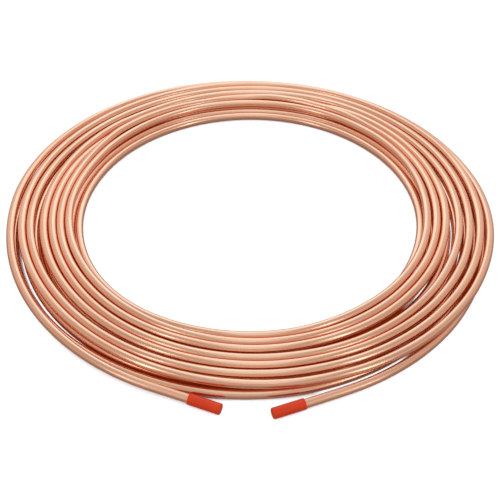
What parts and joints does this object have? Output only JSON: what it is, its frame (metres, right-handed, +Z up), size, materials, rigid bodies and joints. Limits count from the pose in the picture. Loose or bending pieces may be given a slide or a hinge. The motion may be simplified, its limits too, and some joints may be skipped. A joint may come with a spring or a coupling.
{
  "type": "coil of soft copper tube",
  "caption": "Flat round coil of small soft copper tube, wound in two layers around an open bore, with a plastic cap on each loose end.",
  "frame": {"origin": "centre of the bounding box at the floor under the coil, a few millimetres from the coil's axis", "axes": "+Z up, along the coil's axis; the loose ends lie on the -Y side and point at each other along X"},
  "size_m": [0.3818, 0.3966, 0.0132],
  "materials": {
    "copper": "bright drawn copper, satin along the tube",
    "cap_plastic": "satin red-orange plastic"
  },
  "bodies": {
    "root": {"copper_tube_coil": "copper", "end_cap_left": "cap_plastic", "end_cap_right": "cap_plastic"}
  },
  "joints": []
}
